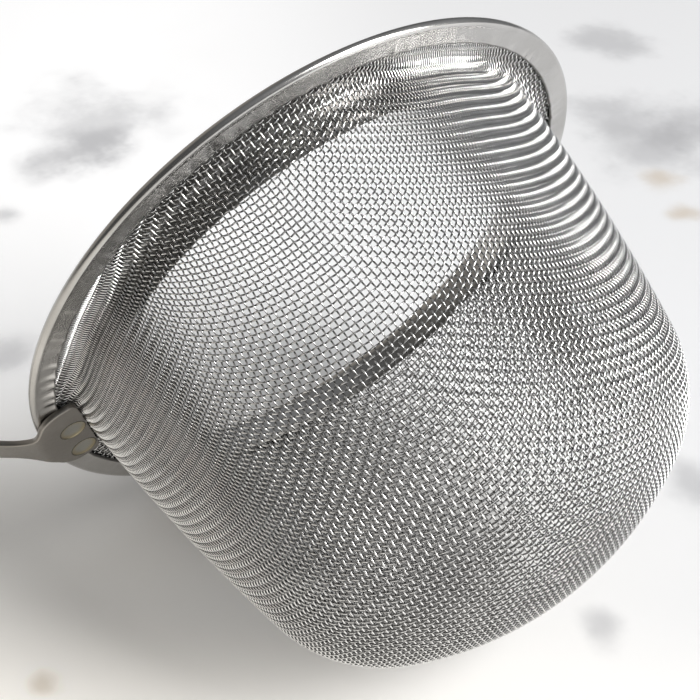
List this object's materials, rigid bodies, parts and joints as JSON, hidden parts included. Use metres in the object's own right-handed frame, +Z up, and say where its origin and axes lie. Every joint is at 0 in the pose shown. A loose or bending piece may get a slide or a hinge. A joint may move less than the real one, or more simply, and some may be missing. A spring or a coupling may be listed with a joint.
{
  "type": "tea infuser",
  "caption": "Deep woven-wire tea infuser basket with a hemmed sheet-metal rim and a long strap handle, lying on its side; it hangs by the rim in a mug to steep loose tea.",
  "frame": {"origin": "centre of the footprint's bounding box, on the surface that the infuser lies on", "axes": "+Z up from that surface; +X the way the cup's axis leads from mouth to bottom, seen from above; -Y towards the handle's tip. The mouth faces -X, 17.6 degrees above level."},
  "size_m": [0.0784, 0.1766, 0.0763],
  "materials": {
    "rim_steel": "bright pressed stainless sheet, fine drawn lines and pressing marks",
    "wire_cloth": "plain-woven bright stainless wire",
    "handle_steel": "tumbled stainless strap, satin",
    "weld_metal": "resistance-welded steel with straw-brown heat tint"
  },
  "bodies": {
    "root": {"rim_ring": "rim_steel", "mesh_basket": "wire_cloth", "handle": "handle_steel", "spot_welds": "weld_metal"}
  },
  "joints": []
}
